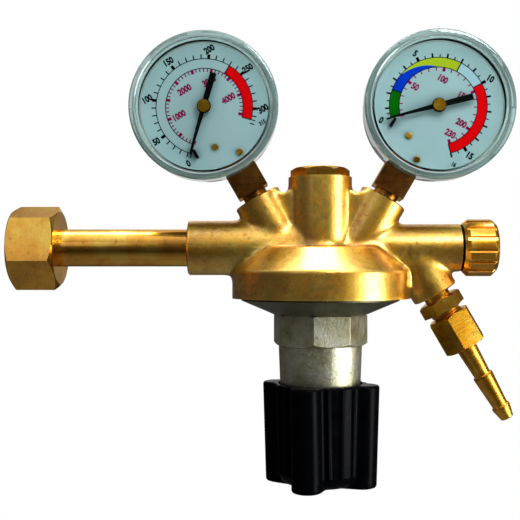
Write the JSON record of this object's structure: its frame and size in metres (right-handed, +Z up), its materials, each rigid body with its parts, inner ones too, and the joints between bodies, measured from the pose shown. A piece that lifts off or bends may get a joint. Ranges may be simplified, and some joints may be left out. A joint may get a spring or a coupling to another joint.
{
  "type": "cylinder pressure regulator",
  "caption": "Brass gas cylinder pressure regulator with inlet nut and stem, two leaning dial gauges, adjusting knob, outlet valve and hose barb.",
  "frame": {"origin": "centre of the inlet nut's mouth, where the cylinder's valve enters", "axes": "+X from the inlet to the outlet valve, +Z up from the adjusting knob to the gauges, gauges facing -Y; the body's upright axis is at X = 131.8 mm"},
  "size_m": [0.2137, 0.0756, 0.191],
  "materials": {
    "forged_brass": "satin forged",
    "turned_brass": "turned, satin",
    "dark_brass": "dark, satin",
    "plated_brass": "satin nickel",
    "steel": "satin",
    "spring_steel": "satin",
    "case_steel": "satin",
    "bronze": "satin",
    "copper": "satin",
    "rubber": "matt",
    "seal_plastic": "matt",
    "black_plastic": "satin moulded",
    "clear_plastic": "clear, glossy",
    "dial_white": "matt, printed scales",
    "pointer_black": "satin"
  },
  "bodies": {
    "regulator_body": {"body": "forged_brass", "inlet_stem": "turned_brass", "inlet_washer": "seal_plastic", "inlet_filter": "bronze", "top_plug": "turned_brass", "plug_seal": "rubber", "valve_seat": "turned_brass", "poppet_spring": "spring_steel", "diaphragm": "rubber", "slip_ring": "steel", "bonnet": "plated_brass", "main_spring": "spring_steel", "outlet_adapter": "turned_brass", "hose_barb": "turned_brass", "high_socket": "dark_brass", "high_gasket": "copper", "high_case": "case_steel", "high_window": "clear_plastic", "high_dial": "dial_white", "high_dial_screws": "turned_brass", "high_tube": "bronze", "high_movement": "turned_brass", "high_vent_plug": "rubber", "low_socket": "dark_brass", "low_gasket": "copper", "low_case": "case_steel", "low_window": "clear_plastic", "low_dial": "dial_white", "low_dial_screws": "turned_brass", "low_tube": "bronze", "low_movement": "turned_brass", "low_vent_plug": "rubber"},
    "inlet_nut": {"inlet_nut": "turned_brass"},
    "valve_train": {"poppet": "turned_brass", "poppet_seal": "seal_plastic", "push_pin": "steel", "pin_disc": "turned_brass", "diaphragm_plate": "steel"},
    "spring_button": {"spring_button": "steel"},
    "adjusting_knob": {"adjusting_knob": "black_plastic", "adjusting_screw": "steel"},
    "outlet_disc": {"outlet_disc": "turned_brass", "disc_washer": "seal_plastic"},
    "outlet_valve_knob": {"outlet_spindle": "turned_brass", "spindle_seal": "rubber", "valve_knob": "turned_brass", "knob_ring": "black_plastic", "knob_screw": "steel"},
    "union_nut": {"union_nut": "turned_brass"},
    "high_sector": {"high_sector": "turned_brass"},
    "high_link": {"high_link": "steel"},
    "high_pointer": {"high_pinion": "turned_brass", "high_pointer": "pointer_black"},
    "low_sector": {"low_sector": "turned_brass"},
    "low_link": {"low_link": "steel"},
    "low_pointer": {"low_pinion": "turned_brass", "low_pointer": "pointer_black"}
  },
  "joints": [
    {"name": "inlet_nut_spin", "type": "hinge", "parent": "regulator_body", "child": "inlet_nut", "pos_m": [0.01, 0, 0], "axis": [1, 0, 0], "continuous": true},
    {"name": "valve_lift", "type": "slide", "parent": "regulator_body", "child": "valve_train", "axis": [0, 0, 1], "range_m": [0, 0.0008], "stiffness_N_per_m": 2000, "springref_m": -0.002, "deforming": ["diaphragm", "poppet_spring"]},
    {"name": "button_slide", "type": "slide", "parent": "regulator_body", "child": "spring_button", "axis": [0, 0, 1], "range_m": [0, 0.009]},
    {"name": "knob_turn", "type": "hinge", "parent": "spring_button", "child": "adjusting_knob", "pos_m": [0.1318, 0, -0.08], "axis": [0, 0, 1], "range_deg": [0, 1620], "deforming": ["main_spring"]},
    {"name": "disc_slide", "type": "slide", "parent": "regulator_body", "child": "outlet_disc", "axis": [1, 0, 0], "range_m": [0, 0.0025]},
    {"name": "outlet_turn", "type": "hinge", "parent": "outlet_disc", "child": "outlet_valve_knob", "pos_m": [0.1978, 0, 0], "axis": [1, 0, 0], "range_deg": [0, 900]},
    {"name": "union_nut_spin", "type": "hinge", "parent": "regulator_body", "child": "union_nut", "pos_m": [0.19015, 0, -0.03559], "axis": [0.5, 0, -0.866], "continuous": true},
    {"name": "high_sector_turn", "type": "hinge", "parent": "regulator_body", "child": "high_sector", "pos_m": [0.09705, -0.004, 0.05662], "axis": [0, -1, 0], "range_deg": [0, 27], "stiffness_Nm_per_rad": 0.01, "springref_deg": -5.73, "deforming": ["high_tube"]},
    {"name": "high_link_turn", "type": "hinge", "parent": "high_sector", "child": "high_link", "pos_m": [0.10058, -0.0027, 0.05309], "axis": [0, -1, 0], "range_deg": [-27, 0]},
    {"name": "high_pointer_turn", "type": "hinge", "parent": "regulator_body", "child": "high_pointer", "pos_m": [0.08275, -0.0108, 0.05915], "axis": [0, 1, 0], "range_deg": [0, 270]},
    {"name": "low_sector_turn", "type": "hinge", "parent": "regulator_body", "child": "low_sector", "pos_m": [0.18582, -0.004, 0.0455], "axis": [0, -1, 0], "range_deg": [0, 27], "stiffness_Nm_per_rad": 0.01, "springref_deg": -5.73, "deforming": ["low_tube"]},
    {"name": "low_link_turn", "type": "hinge", "parent": "low_sector", "child": "low_link", "pos_m": [0.18452, -0.0027, 0.04067], "axis": [0, -1, 0], "range_deg": [-27, 0]},
    {"name": "low_pointer_turn", "type": "hinge", "parent": "regulator_body", "child": "low_pointer", "pos_m": [0.18085, -0.0108, 0.05915], "axis": [0, 1, 0], "range_deg": [0, 270]}
  ],
  "couplings": [
    {"joint": "knob_turn", "follows": "button_slide", "rad_per_m": 3141.6},
    {"joint": "outlet_turn", "follows": "disc_slide", "rad_per_m": 6283.2},
    {"joint": "high_pointer_turn", "follows": "high_sector_turn", "ratio": 10},
    {"joint": "high_link_turn", "follows": "high_sector_turn", "ratio": -1},
    {"joint": "low_pointer_turn", "follows": "low_sector_turn", "ratio": 10},
    {"joint": "low_link_turn", "follows": "low_sector_turn", "ratio": -1}
  ]
}
